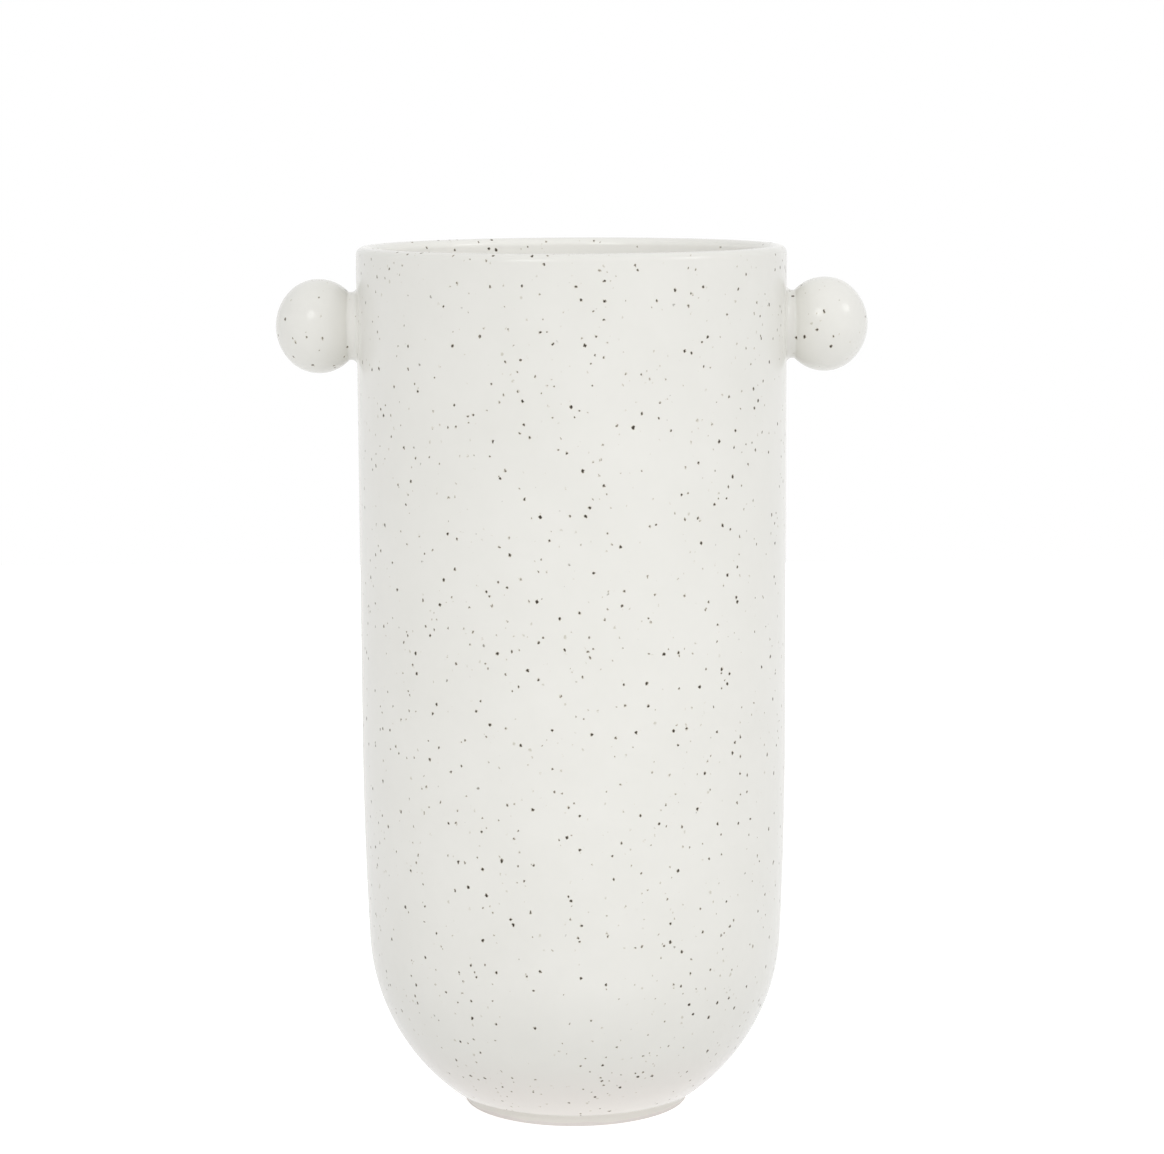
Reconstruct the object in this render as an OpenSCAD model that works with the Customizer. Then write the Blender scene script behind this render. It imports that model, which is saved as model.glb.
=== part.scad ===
// Stoneware vase: a straight wall closed by a round bowl, a low foot ring under it,
// and a ball knob on each side below the lip. Each knob is pressed on to the wall,
// and a collar of soft clay is worked into the seam round it.
// The origin is the middle of the foot's standing face, +Z is up and the knobs lie along X.

/* [Wall and bowl] */
// Height from the table to the top of the lip
vase_height = 254; // [230:1:280]
// Outside diameter of the straight wall
wall_d = 125; // [124:0.5:130]
// Thickness of the wall, which ends in a fully rounded lip
wall_t = 4.8; // [4:0.1:6]
// Height at which the wall begins to draw in towards the bowl
draw_in_z = 112; // [95:1:140]
// Outside radius of the bowl
bowl_r = 61.1; // [60.5:0.1:61.8]
// Height of the bowl's centre
bowl_z = 53; // [52:0.1:54]
// Radius of the edge where the bowl turns under to its flat base
base_edge_r = 1.5; // [0.8:0.1:2.5]
// Thickness of the floor
floor_t = 6; // [5:0.5:9]
// Radius of the inside corner between the floor and the bowl
floor_corner_r = 14; // [8:1:20]

/* [Foot ring] */
// Outside diameter of the ring
foot_d = 66.2; // [60:0.2:67]
// Height of the ring, which is the height of the base over the table
foot_h = 4.3; // [3:0.1:5.5]
// Width of the ring, from outside to inside
foot_w = 6.4; // [4:0.1:9]
// Rounding of the outer standing edge
foot_outer_edge_r = 0.4; // [0.2:0.1:0.8]
// Rounding of the inner standing edge
foot_inner_edge_r = 1.2; // [0.5:0.1:2]

/* [Knobs] */
// Depth of the knobs' centres below the top of the lip
knob_drop = 23.1; // [20:0.1:40]
// Diameter of a knob across its own axis
knob_d = 27.3; // [24:0.1:30]
// Thickness of a knob along its axis, a ball pressed a little flat
knob_t = 25.1; // [24.6:0.1:26]
// Radius of the knob's rounding at its equator
knob_equator_r = 11.9; // [11.5:0.1:12.2]
// How far the ball's pole would reach into the wall
knob_press = 1.5; // [1:0.1:2]
// Radius of the knob's seat on the wall
knob_seat_r = 8; // [7.5:0.1:8.5]

/* [Collars] */
// Radius of the collar's neck, where it meets the knob
collar_r = 9.9; // [9.4:0.1:10.4]
// Radius of the hollow curve from the neck out to the wall
fillet_r = 1.6; // [1:0.1:2]

/* [Hidden] */
$fn = 180;
glaze = "#e6e4dc";
clay = "#d8d0c5";

// The draw-in arc leaves the wall upright and runs smoothly into the bowl
wall_r = wall_d / 2;
lap = 0.2;
hair = 0.005;
lip_r = wall_t / 2;
draw_in_r = (pow(wall_r, 2) + pow(draw_in_z - bowl_z, 2) - pow(bowl_r, 2)) / (2 * (wall_r - bowl_r));
draw_in_x = wall_r - draw_in_r;
draw_in_fall = (bowl_z - draw_in_z) / (draw_in_r - bowl_r);
bowl_top = bowl_z + bowl_r * draw_in_fall;

// The edge of the base touches the bowl and the base plane
base_edge_z = foot_h + base_edge_r;
base_edge_x = sqrt(pow(bowl_r - base_edge_r, 2) - pow(bowl_z - base_edge_z, 2));
base_edge_top = bowl_z - (bowl_z - base_edge_z) * bowl_r / (bowl_r - base_edge_r);

// The hollow keeps the same centres, one wall thickness further in
hollow_r = bowl_r - wall_t;
hollow_top = bowl_z + hollow_r * draw_in_fall;
floor_z = foot_h + floor_t;
corner_z = floor_z + floor_corner_r;
corner_x = sqrt(pow(hollow_r - floor_corner_r, 2) - pow(bowl_z - corner_z, 2));
corner_top = bowl_z - (bowl_z - corner_z) * hollow_r / (hollow_r - floor_corner_r);

foot_r = foot_d / 2;
foot_hole_r = foot_r - foot_w;

// A knob is a four-centre oval turned about its short axis
knob_z = vase_height - knob_drop;
knob_r = knob_d / 2;
knob_half = knob_t / 2;
knob_x = wall_r - knob_press + knob_half;
equator_x = knob_r - knob_equator_r;
pole_r = (pow(equator_x, 2) + pow(knob_half, 2) - pow(knob_equator_r, 2)) / (2 * (knob_half - knob_equator_r));
pole_back = pole_r - knob_half;
oval_join = knob_equator_r * pole_back / (pole_r - knob_equator_r);

// The collar's hollow curve ends on the wall with a thin edge, and its neck ends inside the knob
fillet_first = 18;
fillet_steps = 7;
round_steps = 90;
collar_depth = 3.4;
buried = 0.6;

// A strip of the half section between two heights
module band(low, high, width) {
    translate([0, low]) square([width, high - low]);
}

// The part of a disc that lies between two heights
module arc_band(low, high, centre, radius, sides = $fn) {
    intersection() {
        band(low, high, centre[0] + radius + 1);
        translate(centre) circle(radius, $fn = sides);
    }
}

// An arc that runs on smoothly into a wider one above it. It laps over that one and is a hair fuller,
// so that the two cross cleanly instead of only touching.
module smooth_arc(low, high, centre, radius, hairs = 1) {
    arc_band(low, high + lap * radius, centre, radius + hairs * hair);
}

module outside_section() {
    band(draw_in_z, vase_height - lip_r, wall_r);
    arc_band(bowl_top, draw_in_z, [draw_in_x, draw_in_z], draw_in_r, 3600);
    smooth_arc(base_edge_top, bowl_top, [0, bowl_z], bowl_r);
    smooth_arc(foot_h, base_edge_top, [base_edge_x, base_edge_z], base_edge_r, 2);
    band(foot_h, base_edge_z, base_edge_x);
}

module hollow_section() {
    band(draw_in_z, vase_height, wall_r - wall_t);
    arc_band(hollow_top, draw_in_z, [draw_in_x, draw_in_z], draw_in_r - wall_t, 3600);
    smooth_arc(corner_top, hollow_top, [0, bowl_z], hollow_r);
    smooth_arc(floor_z, corner_top, [corner_x, corner_z], floor_corner_r, 2);
    band(floor_z, corner_z, corner_x);
}

module lip_section() {
    arc_band(vase_height - lip_r, vase_height, [wall_r - lip_r, vase_height - lip_r], lip_r);
}

module vase_body() {
    color(glaze) rotate_extrude() {
        difference() {
            outside_section();
            hollow_section();
        }
        lip_section();
    }
}

// The half section of the ring: a square bar with its two standing edges rounded
module foot_section() {
    inner_x = foot_hole_r + foot_inner_edge_r;
    outer_x = foot_r - foot_outer_edge_r;
    translate([inner_x, 0]) square([outer_x - inner_x, foot_h]);
    translate([foot_hole_r, foot_inner_edge_r]) square([foot_inner_edge_r, foot_h - foot_inner_edge_r]);
    translate([outer_x, foot_outer_edge_r]) square([foot_outer_edge_r, foot_h - foot_outer_edge_r]);
    intersection() {
        translate([foot_hole_r, 0]) square(foot_inner_edge_r);
        translate([inner_x, foot_inner_edge_r]) circle(foot_inner_edge_r);
    }
    intersection() {
        translate([outer_x, 0]) square(foot_outer_edge_r);
        translate([outer_x, foot_outer_edge_r]) circle(foot_outer_edge_r);
    }
}

module foot_ring() {
    color(clay) rotate_extrude() foot_section();
}

// The half section of one half of a knob, about its own axis
module half_knob_section() {
    smooth_arc(0, oval_join, [equator_x, 0], knob_equator_r);
    band(0, oval_join, equator_x);
    arc_band(oval_join, knob_t, [0, -pole_back], pole_r);
}

module knob_section() {
    half_knob_section();
    mirror([0, 1]) half_knob_section();
}

module wall_solid() {
    translate([0, 0, knob_z - knob_d]) cylinder(h = 2 * knob_d, r = wall_r);
}

// A knob on the +X side, with its seat hollowed to the curve of the wall
module knob() {
    difference() {
        translate([0, 0, knob_z]) rotate([0, 90, 0]) {
            translate([0, 0, knob_x]) rotate_extrude() knob_section();
            translate([0, 0, wall_r - knob_seat_r]) cylinder(h = knob_seat_r + knob_half, r = knob_seat_r);
        }
        wall_solid();
    }
}

// How far the wall falls back, beside the plane that touches it, at a distance y from the knob's axis
function fall_back(y) = wall_r - sqrt(wall_r * wall_r - y * y);

// A point of the collar: out from the wall, away from the knob's axis, at an angle round that axis.
// Near the wall it follows the wall's curve, and near the knob it is round.
function collar_point(out, away, angle) =
    let (y = away * sin(angle), follow = 1 - max(out, 0) / collar_depth)
    [wall_r + out - follow * fall_back(y), y, knob_z + away * cos(angle)];

// One section of the collar: the hollow curve and the neck, closed inside the knob and inside the wall
function collar_section() =
    let (curve = [for (i = [0 : fillet_steps])
        let (turn = fillet_first + (90 - fillet_first) * i / fillet_steps)
        [fillet_r * (1 - cos(turn)), collar_r + fillet_r * (1 - sin(turn))]])
    concat(curve, [
        [collar_depth, collar_r],
        [collar_depth, knob_seat_r - buried],
        [-buried, knob_seat_r - buried],
        [-buried, curve[0][1]]
    ]);

// A ring of sections round the knob's axis, on the +X side
module collar_ring() {
    section = collar_section();
    sides = len(section);
    corners = [for (step = [0 : round_steps - 1], corner = section)
        collar_point(corner[0], corner[1], 360 * step / round_steps)];
    function at(step, side) = (step % round_steps) * sides + side % sides;
    faces = [for (step = [0 : round_steps - 1], side = [0 : sides - 1], half = [0, 1])
        half == 0 ? [at(step, side), at(step, side + 1), at(step + 1, side)]
                  : [at(step, side + 1), at(step + 1, side + 1), at(step + 1, side)]];
    polyhedron(corners, faces);
}

module collar() {
    difference() {
        collar_ring();
        wall_solid();
        knob();
    }
}

module right_knob() {
    color(glaze) knob();
}

module left_knob() {
    color(glaze) mirror([1, 0, 0]) knob();
}

module right_collar() {
    color(glaze) collar();
}

module left_collar() {
    color(glaze) mirror([1, 0, 0]) collar();
}

vase_body();
foot_ring();
left_knob();
right_knob();
left_collar();
right_collar();
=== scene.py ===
import math

import bmesh
import bpy
from mathutils import Matrix, Vector


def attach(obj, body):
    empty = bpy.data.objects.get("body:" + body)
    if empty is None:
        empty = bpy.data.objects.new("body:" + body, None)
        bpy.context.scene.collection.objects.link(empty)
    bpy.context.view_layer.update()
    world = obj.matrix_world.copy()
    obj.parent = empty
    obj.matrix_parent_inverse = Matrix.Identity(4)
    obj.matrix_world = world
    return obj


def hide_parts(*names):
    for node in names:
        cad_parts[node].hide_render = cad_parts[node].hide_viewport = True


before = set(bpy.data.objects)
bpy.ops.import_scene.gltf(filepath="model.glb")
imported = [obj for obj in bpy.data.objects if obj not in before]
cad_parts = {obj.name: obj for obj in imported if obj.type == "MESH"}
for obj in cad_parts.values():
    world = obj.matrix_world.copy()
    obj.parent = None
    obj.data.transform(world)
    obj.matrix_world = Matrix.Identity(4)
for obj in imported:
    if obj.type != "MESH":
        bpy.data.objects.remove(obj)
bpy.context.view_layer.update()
MM = 0.001

# The viewpoint: a long lens a metre in front of the vase and 4 cm above its lip, so that the mouth
# shows as a thin ellipse and the foot ring as a rounder one. The picture leans by a hair.
picture_width = 1164
focal_px = 3385
camera_place = Vector((2.62, -986.5, 292.9)) * MM
look_down = math.radians(7.857)
lean = math.radians(-0.287)
camera = bpy.data.objects.new("camera", bpy.data.cameras.new("camera"))
camera.data.sensor_width = 36
camera.data.lens = camera.data.sensor_width * focal_px / picture_width
camera.matrix_world = (
    Matrix.Translation(camera_place)
    @ Matrix.Rotation(math.pi / 2 - look_down, 4, "X")
    @ Matrix.Rotation(lean, 4, "Z")
)
bpy.context.scene.collection.objects.link(camera)
bpy.context.scene.camera = camera

# The vessel: stoneware, a straight wall drawn in to a round bowl with a flat base, its lip sponged
# round. It is turned as on the wheel: half of its section is drawn, floor first, up the inside,
# over the lip and down the outside, and spun about the upright axis.
wall_r, wall_t = 62.5 * MM, 4.8 * MM
lip_z = 254 * MM
draw_in_z = 112 * MM
bowl_r, bowl_z = 61.1 * MM, 53 * MM
base_z, base_edge_r = 4.3 * MM, 1.5 * MM
floor_z, floor_corner_r = 10.3 * MM, 14 * MM


def line_to(outline, end, x, z):
    """Carries an outline on from its end, straight to a point of the half section."""
    end = bmesh.ops.extrude_vert_indiv(outline, verts=[end])["verts"][0]
    end.co = (x, 0, z)
    return end


def arc_about(outline, end, x, z, angle, steps):
    """Carries an outline on from its end, round a centre. A positive angle turns clockwise."""
    swept = bmesh.ops.spin(
        outline, geom=[end], cent=(x, 0, z), axis=(0, 1, 0), angle=angle, steps=steps
    )
    return next(part for part in swept["geom_last"] if isinstance(part, bmesh.types.BMVert))


def turn(outline, steps):
    """Spins an outline all round the upright axis and closes its seam and poles."""
    bmesh.ops.spin(
        outline, geom=outline.verts[:] + outline.edges[:], cent=(0, 0, 0), axis=(0, 0, 1),
        angle=2 * math.pi, steps=steps, use_merge=True,
    )
    merge_within = 0.001 * MM
    bmesh.ops.remove_doubles(outline, verts=outline.verts, dist=merge_within)
    bmesh.ops.recalc_face_normals(outline, faces=outline.faces)


def piece(shape, name, material):
    """Makes a shape an object at the origin, smooth but for its sharp corners."""
    sharp_from = math.radians(50)
    for face in shape.faces:
        face.smooth = True
    for edge in shape.edges:
        edge.smooth = edge.calc_face_angle(0) < sharp_from
    mesh = bpy.data.meshes.new(name)
    shape.to_mesh(mesh)
    shape.free()
    mesh.materials.append(material)
    made = bpy.data.objects.new(name, mesh)
    bpy.context.scene.collection.objects.link(made)
    return made


# The wall leaves the upright on a very wide arc that runs smoothly into the bowl.
draw_in_r = (wall_r**2 + (draw_in_z - bowl_z) ** 2 - bowl_r**2) / (2 * (wall_r - bowl_r))
draw_in_x = wall_r - draw_in_r
draw_in_turn = math.asin((draw_in_z - bowl_z) / (draw_in_r - bowl_r))
corner_z = floor_z + floor_corner_r
corner_x = math.sqrt((bowl_r - wall_t - floor_corner_r) ** 2 - (bowl_z - corner_z) ** 2)
corner_turn = math.atan2(corner_x, bowl_z - corner_z)
edge_z = base_z + base_edge_r
edge_x = math.sqrt((bowl_r - base_edge_r) ** 2 - (bowl_z - edge_z) ** 2)
edge_turn = math.atan2(edge_x, bowl_z - edge_z)
bowl_turn = math.pi / 2 - draw_in_turn

vessel = bmesh.new()
end = vessel.verts.new((0, 0, floor_z))
end = line_to(vessel, end, corner_x, floor_z)
end = arc_about(vessel, end, corner_x, corner_z, -corner_turn, steps=16)
end = arc_about(vessel, end, 0, bowl_z, corner_turn - bowl_turn, steps=24)
end = arc_about(vessel, end, draw_in_x, draw_in_z, -draw_in_turn, steps=16)
end = line_to(vessel, end, wall_r - wall_t, lip_z - wall_t / 2)
end = arc_about(vessel, end, wall_r - wall_t / 2, lip_z - wall_t / 2, math.pi, steps=28)
end = line_to(vessel, end, wall_r, draw_in_z)
end = arc_about(vessel, end, draw_in_x, draw_in_z, draw_in_turn, steps=16)
end = arc_about(vessel, end, 0, bowl_z, bowl_turn - edge_turn, steps=40)
end = arc_about(vessel, end, edge_x, edge_z, edge_turn, steps=10)
end = line_to(vessel, end, 0, base_z)
turn(vessel, steps=384)

# Inside the vase the coat is painted whiter: painted light, for the mouth lit brighter than the
# lamps give. It fades out over the lip.
vessel.normal_update()
painted_inner_light = vessel.verts.layers.float.new("painted_inner_light")
inner_light_fade = 4
for vert in vessel.verts:
    outward = Vector((vert.co.x, vert.co.y, 0)).normalized().dot(vert.normal)
    vert[painted_inner_light] = max(0, -outward) ** inner_light_fade


def colour(code):
    """An sRGB hex colour as linear red, green, blue and alpha."""
    parts = [int(code[i : i + 2], 16) / 255 for i in (1, 3, 5)]
    return [c / 12.92 if c <= 0.04045 else ((c + 0.055) / 1.055) ** 2.4 for c in parts] + [1]


def add(tree, kind, inputs=None, **settings):
    """Adds a node with its settings, and sets or links its inputs."""
    made = tree.nodes.new(kind)
    for name, value in settings.items():
        setattr(made, name, value)
    for socket, value in (inputs or {}).items():
        if isinstance(value, bpy.types.NodeSocket):
            tree.links.new(value, made.inputs[socket])
        else:
            made.inputs[socket].default_value = value
    return made


# Satin tin-white glaze over iron-bearing stoneware: a soft, broad gloss on an even off-white coat.
# In the kiln grains of iron melt up through it, as dark brown dots with a rusty fringe where they
# break the surface and as grey-brown shadows where they stay under it. By the foot it is warmer
# and darker, partly from thinner glaze and partly as painted shade under the bowl.
speckled_glaze = bpy.data.materials.new("speckled_satin_glaze")
speckled_glaze.use_nodes = True
tree = speckled_glaze.node_tree
gloss = tree.nodes["Principled BSDF"]
gloss.inputs["IOR"].default_value = 1.5

place = add(tree, "ShaderNodeTexCoord").outputs["Object"]

# The coat: cloudy by a few parts in a hundred, over 3 cm and in finer mottles down to 2 mm, and
# warmer and darker towards the foot, partly from thinner glaze and partly as painted shade under
# the bowl.
cloud_mm, thin_shade_from_mm, thin_shade_full_mm = 30, 24, 5
cloud = add(
    tree, "ShaderNodeTexNoise",
    {"Vector": place, "Scale": 1 / (cloud_mm * MM), "Detail": 4, "Roughness": 0.7},
)
coat = add(
    tree, "ShaderNodeMix",
    {0: cloud.outputs["Fac"], 6: colour("#e4e3dd"), 7: colour("#edece7")},
    data_type="RGBA",
)
height = add(tree, "ShaderNodeSeparateXYZ", {"Vector": place}).outputs["Z"]
# Painted shade: the coat darkens towards the foot, partly for thin glaze, partly for shade under
# the bowl.
thin_and_shade = add(
    tree, "ShaderNodeMapRange",
    {
        "Value": height, "From Min": base_z + thin_shade_from_mm * MM, "From Max": base_z + thin_shade_full_mm * MM,
    },
    interpolation_type="SMOOTHSTEP",
)
coat = add(
    tree, "ShaderNodeMix",
    {0: thin_and_shade.outputs["Result"], 6: coat.outputs[2], 7: colour("#e3dfda")},
    data_type="RGBA",
)
# Painted light: the inside of the vase is mixed towards a whiter colour, so the mouth looks
# brightly lit.
inner_light = add(tree, "ShaderNodeAttribute", attribute_name="painted_inner_light")
coat = add(
    tree, "ShaderNodeMix",
    {0: inner_light.outputs["Fac"], 6: coat.outputs[2], 7: colour("#fbfaf5")},
    data_type="RGBA",
)

# The grains are rounded but ragged, and sag a little down the wall.
ragged_mm, ragged_by_mm, sag = 0.7, 0.8, 0.87
ragged = add(
    tree, "ShaderNodeTexNoise", {"Vector": place, "Scale": 1 / (ragged_mm * MM), "Detail": 1}
)
ragged = add(
    tree, "ShaderNodeVectorMath",
    {0: ragged.outputs["Color"], 1: (0.5, 0.5, 0.5)}, operation="SUBTRACT",
)
ragged = add(
    tree, "ShaderNodeVectorMath",
    {0: ragged.outputs[0], 1: (ragged_by_mm * MM,) * 3, 2: place}, operation="MULTIPLY_ADD",
)
sagged = add(
    tree, "ShaderNodeMapping", {"Vector": ragged.outputs[0], "Scale": (1, 1, sag)}
).outputs[0]

# Each kind of grain: the spacing of the cells that may hold one, the share that do, its least and
# largest radius and the width of its soft edge, then its colour and how far it covers the coat.
# Lengths are in millimetres.
grains = (
    ("sunk", 3.4, 0.40, 0.20, 0.65, 0.42, "#a69c80", 0.45),
    ("pepper", 3.3, 0.15, 0.12, 0.58, 0.42, "#574a28", 0.74),
    ("fringe", 1.9, 0.31, 0.30, 0.69, 0.36, "#9c8340", 0.48),
    ("iron", 1.9, 0.31, 0.18, 0.56, 0.36, "#2a2114", 1.5),
)
# The cells stand askew, so that no row of them runs up the wall. Iron and fringe share their cells.
askew = (0.64, 0.40, 0.19)
iron_start = 85
covers = {}
for kind, cell, share, least, most, soft, tint, strength in grains:
    start = iron_start if kind in ("fringe", "iron") else cell
    moved = add(
        tree, "ShaderNodeMapping",
        {"Vector": sagged, "Location": (start * MM,) * 3, "Rotation": askew},
    )
    cells = add(
        tree, "ShaderNodeTexVoronoi",
        {"Vector": moved.outputs[0], "Scale": 1 / (cell * MM), "Randomness": 1},
        feature="F1", voronoi_dimensions="3D",
    )
    draw = add(tree, "ShaderNodeSeparateColor", {"Color": cells.outputs["Color"]})
    reach = add(
        tree, "ShaderNodeMapRange",
        {
            "Value": draw.outputs["Red"], "From Min": 1 - share, "From Max": 1,
            "To Min": least / cell, "To Max": most / cell,
        },
    )
    core = add(
        tree, "ShaderNodeMath", {0: reach.outputs["Result"], 1: soft / cell}, operation="SUBTRACT"
    )
    holds = add(
        tree, "ShaderNodeMath", {0: draw.outputs["Red"], 1: 1 - share}, operation="GREATER_THAN"
    )
    full = add(
        tree, "ShaderNodeMath", {0: holds.outputs[0], 1: strength}, operation="MULTIPLY"
    )
    cover = add(
        tree, "ShaderNodeMapRange",
        {
            "Value": cells.outputs["Distance"], "From Min": reach.outputs["Result"],
            "From Max": core.outputs[0], "To Max": full.outputs[0],
        },
        interpolation_type="SMOOTHSTEP",
    )
    covers[kind] = cover.outputs["Result"]
    coat = add(
        tree, "ShaderNodeMix",
        {0: covers[kind], 6: coat.outputs[2], 7: colour(tint)}, data_type="RGBA",
    )
tree.links.new(coat.outputs[2], gloss.inputs["Base Color"])

# The gloss is a little uneven, and duller on the iron.
sheen_mm, least_dull, most_dull, iron_duller = 8, 0.14, 0.19, 0.15
sheen = add(
    tree, "ShaderNodeTexNoise", {"Vector": place, "Scale": 1 / (sheen_mm * MM), "Detail": 2}
)
dull = add(
    tree, "ShaderNodeMapRange",
    {"Value": sheen.outputs["Fac"], "To Min": least_dull, "To Max": most_dull},
)
dull = add(
    tree, "ShaderNodeMath",
    {0: covers["iron"], 1: iron_duller, 2: dull.outputs["Result"]}, operation="MULTIPLY_ADD",
)
tree.links.new(dull.outputs[0], gloss.inputs["Roughness"])

# The skin of the glaze ripples over 6 mm by hundredths of a millimetre, and dips at the iron.
ripple_mm, iron_dip, skin_mm = 6, 0.6, 0.012
ripple = add(
    tree, "ShaderNodeTexNoise", {"Vector": place, "Scale": 1 / (ripple_mm * MM), "Detail": 1}
)
skin = add(
    tree, "ShaderNodeMath",
    {0: covers["iron"], 1: -iron_dip, 2: ripple.outputs["Fac"]}, operation="MULTIPLY_ADD",
)
skin = add(
    tree, "ShaderNodeBump",
    {"Height": skin.outputs[0], "Distance": skin_mm * MM, "Strength": 1.0},
)
tree.links.new(skin.outputs["Normal"], gloss.inputs["Normal"])

body = piece(vessel, "glazed_vessel", speckled_glaze)
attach(body, "root")
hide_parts("vase_body")

# The foot: a low ring turned from the same clay and luted under the base with slip, its seam
# smoothed. After dipping, the glaze is wiped off where it stands and a millimetre up its sides.
foot_r, foot_w = 33.1 * MM, 6.4 * MM
outer_edge_r, inner_edge_r = 0.4 * MM, 1.2 * MM
outer_seam_r, inner_seam_r = 1.8 * MM, 0.5 * MM
hole_r = foot_r - foot_w
quarter = math.pi / 2

ring = bmesh.new()
first = ring.verts.new((foot_r + outer_seam_r, 0, base_z))
end = arc_about(ring, first, foot_r + outer_seam_r, base_z - outer_seam_r, -quarter, steps=10)
end = line_to(ring, end, foot_r, outer_edge_r)
end = arc_about(ring, end, foot_r - outer_edge_r, outer_edge_r, quarter, steps=6)
end = line_to(ring, end, hole_r + inner_edge_r, 0)
end = arc_about(ring, end, hole_r + inner_edge_r, inner_edge_r, quarter, steps=10)
end = line_to(ring, end, hole_r, base_z - inner_seam_r)
end = arc_about(ring, end, hole_r - inner_seam_r, base_z - inner_seam_r, -quarter, steps=6)
ring.edges.new((end, first))
turn(ring, steps=256)

# Fired stoneware, turned and wiped: pinkish buff and dry where it is bare, with fine turning lines
# 1.6 mm apart and grog, and above the wavering line where the wiping ends a thin grey-white coat.
waver_mm, wiped_least, wiped_most, wiped_soft = 9, 0.1 * MM, 1.7 * MM, 0.35 * MM
grit_mm, lines_scale, lines_waver, lines_share = 0.8, 1 / (5 * MM), 1.5, 0.6
bare_dull, glazed_dull, scratch_mm = 0.85, 0.22, 0.03
wiped_foot = bpy.data.materials.new("wiped_stoneware")
wiped_foot.use_nodes = True
tree = wiped_foot.node_tree
dry = tree.nodes["Principled BSDF"]
dry.inputs["IOR"].default_value = 1.5
place = add(tree, "ShaderNodeTexCoord").outputs["Object"]
height = add(tree, "ShaderNodeSeparateXYZ", {"Vector": place}).outputs["Z"]
waver = add(
    tree, "ShaderNodeTexNoise", {"Vector": place, "Scale": 1 / (waver_mm * MM), "Detail": 2}
)
wiped_to = add(
    tree, "ShaderNodeMapRange",
    {"Value": waver.outputs["Fac"], "To Min": wiped_least, "To Max": wiped_most},
)
edge = add(
    tree, "ShaderNodeMath", {0: wiped_to.outputs["Result"], 1: wiped_soft}, operation="ADD"
)
glazed = add(
    tree, "ShaderNodeMapRange",
    {"Value": height, "From Min": wiped_to.outputs["Result"], "From Max": edge.outputs[0]},
    interpolation_type="SMOOTHSTEP",
).outputs["Result"]
grit = add(
    tree, "ShaderNodeTexNoise", {"Vector": place, "Scale": 1 / (grit_mm * MM), "Detail": 3}
)
clay = add(
    tree, "ShaderNodeMix",
    {0: grit.outputs["Fac"], 6: colour("#d6d0cc"), 7: colour("#dfdad7")}, data_type="RGBA",
)
foot_coat = add(
    tree, "ShaderNodeMix",
    {0: glazed, 6: clay.outputs[2], 7: colour("#e1ded8")}, data_type="RGBA",
)
tree.links.new(foot_coat.outputs[2], dry.inputs["Base Color"])
foot_dull = add(
    tree, "ShaderNodeMapRange", {"Value": glazed, "To Min": bare_dull, "To Max": glazed_dull}
)
tree.links.new(foot_dull.outputs["Result"], dry.inputs["Roughness"])
turned = add(
    tree, "ShaderNodeTexWave", {"Vector": place, "Scale": lines_scale, "Distortion": lines_waver},
    wave_type="RINGS", rings_direction="Z",
)
rough = add(
    tree, "ShaderNodeMath",
    {0: turned.outputs["Fac"], 1: lines_share, 2: grit.outputs["Fac"]}, operation="MULTIPLY_ADD",
)
foot_skin = add(
    tree, "ShaderNodeBump",
    {"Height": rough.outputs[0], "Distance": scratch_mm * MM, "Strength": 1.0},
)
tree.links.new(foot_skin.outputs["Normal"], dry.inputs["Normal"])

foot = piece(ring, "turned_foot", wiped_foot)
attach(foot, "root")
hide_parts("foot_ring")

# The knobs: balls of clay rolled by hand and pressed a little flat, one on each side under the lip.
# Each ends in a short stub whose seat is hollowed to the curve of the wall.
knob_drop, knob_press = 23.1 * MM, 1.5 * MM
knob_z = lip_z - knob_drop
knob_r, knob_half = 13.65 * MM, 12.55 * MM
equator_r, stub_r = 11.9 * MM, 8 * MM
hair = 0.01 * MM
knob_out = wall_r - knob_press + knob_half
equator_x = knob_r - equator_r
pole_r = (equator_x**2 + knob_half**2 - equator_r**2) / (2 * (knob_half - equator_r))
pole_back = pole_r - knob_half
equator_turn = math.atan2(pole_back, equator_x)
pole_turn = quarter - equator_turn
stub_turn = equator_turn - math.asin(stub_r / pole_r)


def on_side(shape, side):
    """Lays a shape that was turned upright along X, at the height of the knobs."""
    upright = Matrix.Translation((0, 0, knob_z)) @ Matrix.Rotation(side * quarter, 4, "Y")
    bmesh.ops.transform(shape, matrix=upright, verts=shape.verts)


for side, name in ((-1, "left"), (1, "right")):
    ball = bmesh.new()
    end = ball.verts.new((0, 0, knob_out + knob_half))
    end = arc_about(ball, end, 0, knob_out - pole_back, equator_turn, steps=14)
    end = arc_about(ball, end, equator_x, knob_out, 2 * pole_turn, steps=40)
    end = arc_about(ball, end, 0, knob_out + pole_back, stub_turn, steps=4)
    for inward in (stub_r, stub_r / 2, 0):
        end = line_to(ball, end, inward, wall_r)
    turn(ball, steps=256)
    for vert in ball.verts:
        if vert.co.z < wall_r + hair:
            vert.co.z = math.sqrt(wall_r**2 - vert.co.y**2)
    on_side(ball, side)
    knob = piece(ball, name + "_ball", speckled_glaze)
    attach(knob, "root")
    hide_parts(name + "_knob")

# The collars: soft clay worked into the seam round each knob with a wet finger, a short neck with a
# hollow curve out to the wall and a smaller one up to the ball. Each follows the curve of the wall.
neck_r, wall_fillet_r, ball_fillet_r = 9.9 * MM, 1.6 * MM, 0.8 * MM
stub_gap = 0.9 * MM
fillet_back = math.sqrt(
    (equator_r + ball_fillet_r) ** 2 - (neck_r + ball_fillet_r - equator_x) ** 2
)
fillet_z = knob_out - fillet_back
fillet_turn = math.acos((neck_r + ball_fillet_r - equator_x) / (equator_r + ball_fillet_r))

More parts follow.
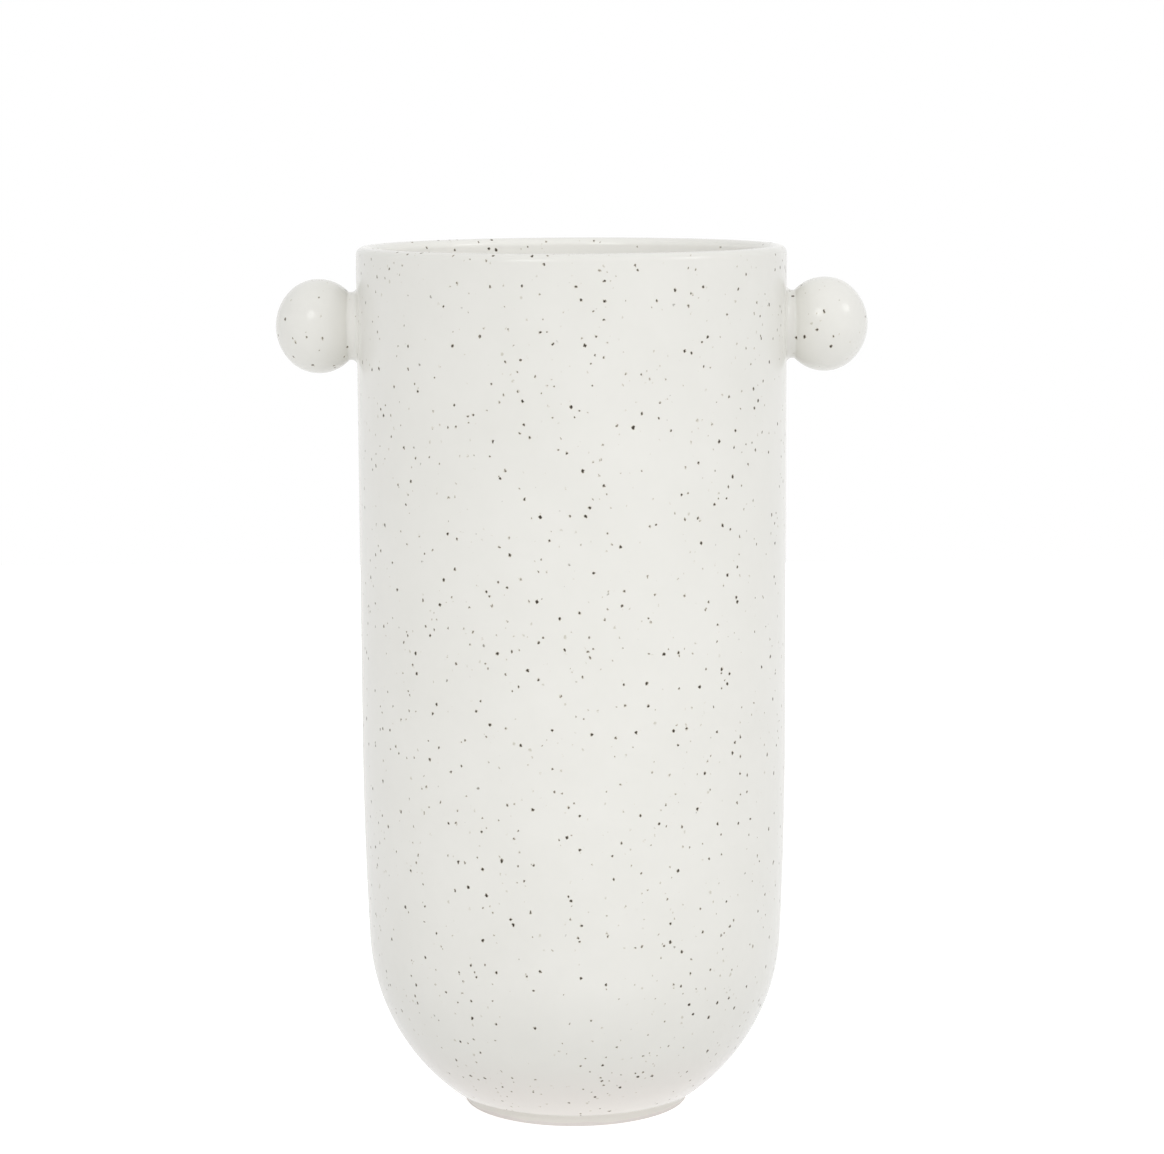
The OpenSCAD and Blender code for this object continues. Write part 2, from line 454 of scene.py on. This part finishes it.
for side, name in ((-1, "left"), (1, "right")):
    seam = bmesh.new()
    first = seam.verts.new((neck_r + wall_fillet_r, 0, wall_r))
    end = arc_about(seam, first, neck_r + wall_fillet_r, wall_r + wall_fillet_r, quarter, steps=48)
    end = line_to(seam, end, neck_r, fillet_z)
    end = arc_about(seam, end, neck_r + ball_fillet_r, fillet_z, fillet_turn, steps=8)
    crease = end.co.z
    end = line_to(seam, end, stub_r, wall_r + stub_gap)
    end = line_to(seam, end, stub_r, wall_r)
    seam.edges.new((end, first))
    turn(seam, steps=256)
    for vert in seam.verts:
        follow = 1 - (vert.co.z - wall_r) / (crease - wall_r)
        vert.co.z -= follow * (wall_r - math.sqrt(wall_r**2 - vert.co.y**2))
    on_side(seam, side)
    collar = piece(seam, name + "_neck", speckled_glaze)
    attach(collar, "root")
    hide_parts(name + "_collar")

# The studio: a white table, lit a little from below, runs out to a white surround that is brighter
# overhead and in front, with two round soft boxes, front left and right. Table and surround
# look white, also in reflections, and the table keeps the shadow of the vase.
table_size = 2.4
tabletop = bmesh.new()
bmesh.ops.create_grid(tabletop, x_segments=1, y_segments=1, size=table_size / 2)
white_table = bpy.data.materials.new("white_table")
white_table.use_nodes = True
tree = white_table.node_tree
tree.nodes.clear()
rays = add(tree, "ShaderNodeLightPath")
seen = add(
    tree, "ShaderNodeMath",
    {0: rays.outputs["Is Glossy Ray"], 1: rays.outputs["Is Transmission Ray"]},
    operation="MAXIMUM",
)
place = add(tree, "ShaderNodeTexCoord").outputs["Object"]
away = add(tree, "ShaderNodeVectorMath", {0: place}, operation="LENGTH").outputs["Value"]
foot_edge, foot_clear, far_off = 0.036, 0.08, 0.30
near_white, all_white, near_lift, far_lift = 0.1, 0.5, 0.6, 1.0
glow, glow_far = 0.45, 0.40
lit = add(
    tree, "ShaderNodeMapRange",
    {"Value": away, "From Min": foot_edge, "From Max": foot_clear, "To Min": glow, "To Max": 0},
    interpolation_type="SMOOTHSTEP",
)
lit_far = add(
    tree, "ShaderNodeMapRange",
    {
        "Value": away, "From Min": foot_clear, "From Max": far_off,
        "To Min": lit.outputs["Result"], "To Max": glow_far,
    },
    interpolation_type="SMOOTHSTEP",
)
plain = add(
    tree, "ShaderNodeMapRange",
    {
        "Value": away, "From Min": near_white, "From Max": all_white,
        "To Min": near_lift, "To Max": far_lift,
    },
    interpolation_type="SMOOTHSTEP",
)
lift = add(
    tree, "ShaderNodeMapRange",
    {
        "Value": rays.outputs["Is Camera Ray"], "To Min": lit_far.outputs["Result"],
        "To Max": plain.outputs["Result"],
    },
)
matt = add(tree, "ShaderNodeBsdfDiffuse", {"Color": colour("#e5e5e5")})
lifted = add(tree, "ShaderNodeEmission", {"Strength": lift.outputs[0]})
shaded = add(tree, "ShaderNodeAddShader", {0: matt.outputs[0], 1: lifted.outputs[0]})
mirrored = add(tree, "ShaderNodeEmission", {"Strength": 1.0})
both = add(
    tree, "ShaderNodeMixShader", {0: seen.outputs[0], 1: shaded.outputs[0], 2: mirrored.outputs[0]}
)
add(tree, "ShaderNodeOutputMaterial", {"Surface": both.outputs[0]})
table = piece(tabletop, "table", white_table)

surround = bpy.data.worlds.new("white_surround")
surround.use_nodes = True
bpy.context.scene.world = surround
tree = surround.node_tree
tree.nodes.clear()
level, more_right, more_front, more_top = 0.500, 0.105, 0.410, 0.450
horizon = -0.05
rays = add(tree, "ShaderNodeLightPath")
seen = add(
    tree, "ShaderNodeMath",
    {0: rays.outputs["Is Camera Ray"], 1: rays.outputs["Is Glossy Ray"]}, operation="MAXIMUM",
)
seen = add(
    tree, "ShaderNodeMath",
    {0: seen.outputs[0], 1: rays.outputs["Is Transmission Ray"]}, operation="MAXIMUM",
)
towards = add(tree, "ShaderNodeTexCoord").outputs["Generated"]
graded = add(
    tree, "ShaderNodeVectorMath",
    {0: towards, 1: (more_right, -more_front, more_top)}, operation="DOT_PRODUCT",
)
graded = add(tree, "ShaderNodeMath", {0: graded.outputs["Value"], 1: level}, operation="ADD")
up = add(tree, "ShaderNodeSeparateXYZ", {"Vector": towards}).outputs["Z"]
above = add(tree, "ShaderNodeMapRange", {"Value": up, "From Min": horizon, "From Max": 0.0})
graded = add(
    tree, "ShaderNodeMath", {0: graded.outputs[0], 1: above.outputs["Result"]}, operation="MULTIPLY"
)
strength = add(
    tree, "ShaderNodeMapRange",
    {"Value": seen.outputs[0], "To Min": graded.outputs[0], "To Max": 1.0},
)
white = add(
    tree, "ShaderNodeBackground",
    {"Color": colour("#ffffff"), "Strength": strength.outputs["Result"]},
)
add(tree, "ShaderNodeOutputWorld", {"Surface": white.outputs[0]})

middle = Vector((0, 0, lip_z / 2))
for name, around, up, distance, size, watts in (
    ("front_box", -22, 33, 2.2, 0.75, 4.0),
    ("right_box", 71, 34, 2.2, 0.72, 3.4),
):
    box = bpy.data.lights.new(name, "AREA")
    box.shape = "DISK"
    box.size = size
    box.energy = watts
    stand = bpy.data.objects.new(name, box)
    around, up = math.radians(around), math.radians(up)
    towards = Vector(
        (math.sin(around) * math.cos(up), -math.cos(around) * math.cos(up), math.sin(up))
    )
    stand.location = middle + distance * towards
    stand.rotation_mode = "QUATERNION"
    stand.rotation_quaternion = towards.to_track_quat("Z", "Y")
    bpy.context.scene.collection.objects.link(stand)

bpy.context.scene.view_settings.view_transform = "Standard"
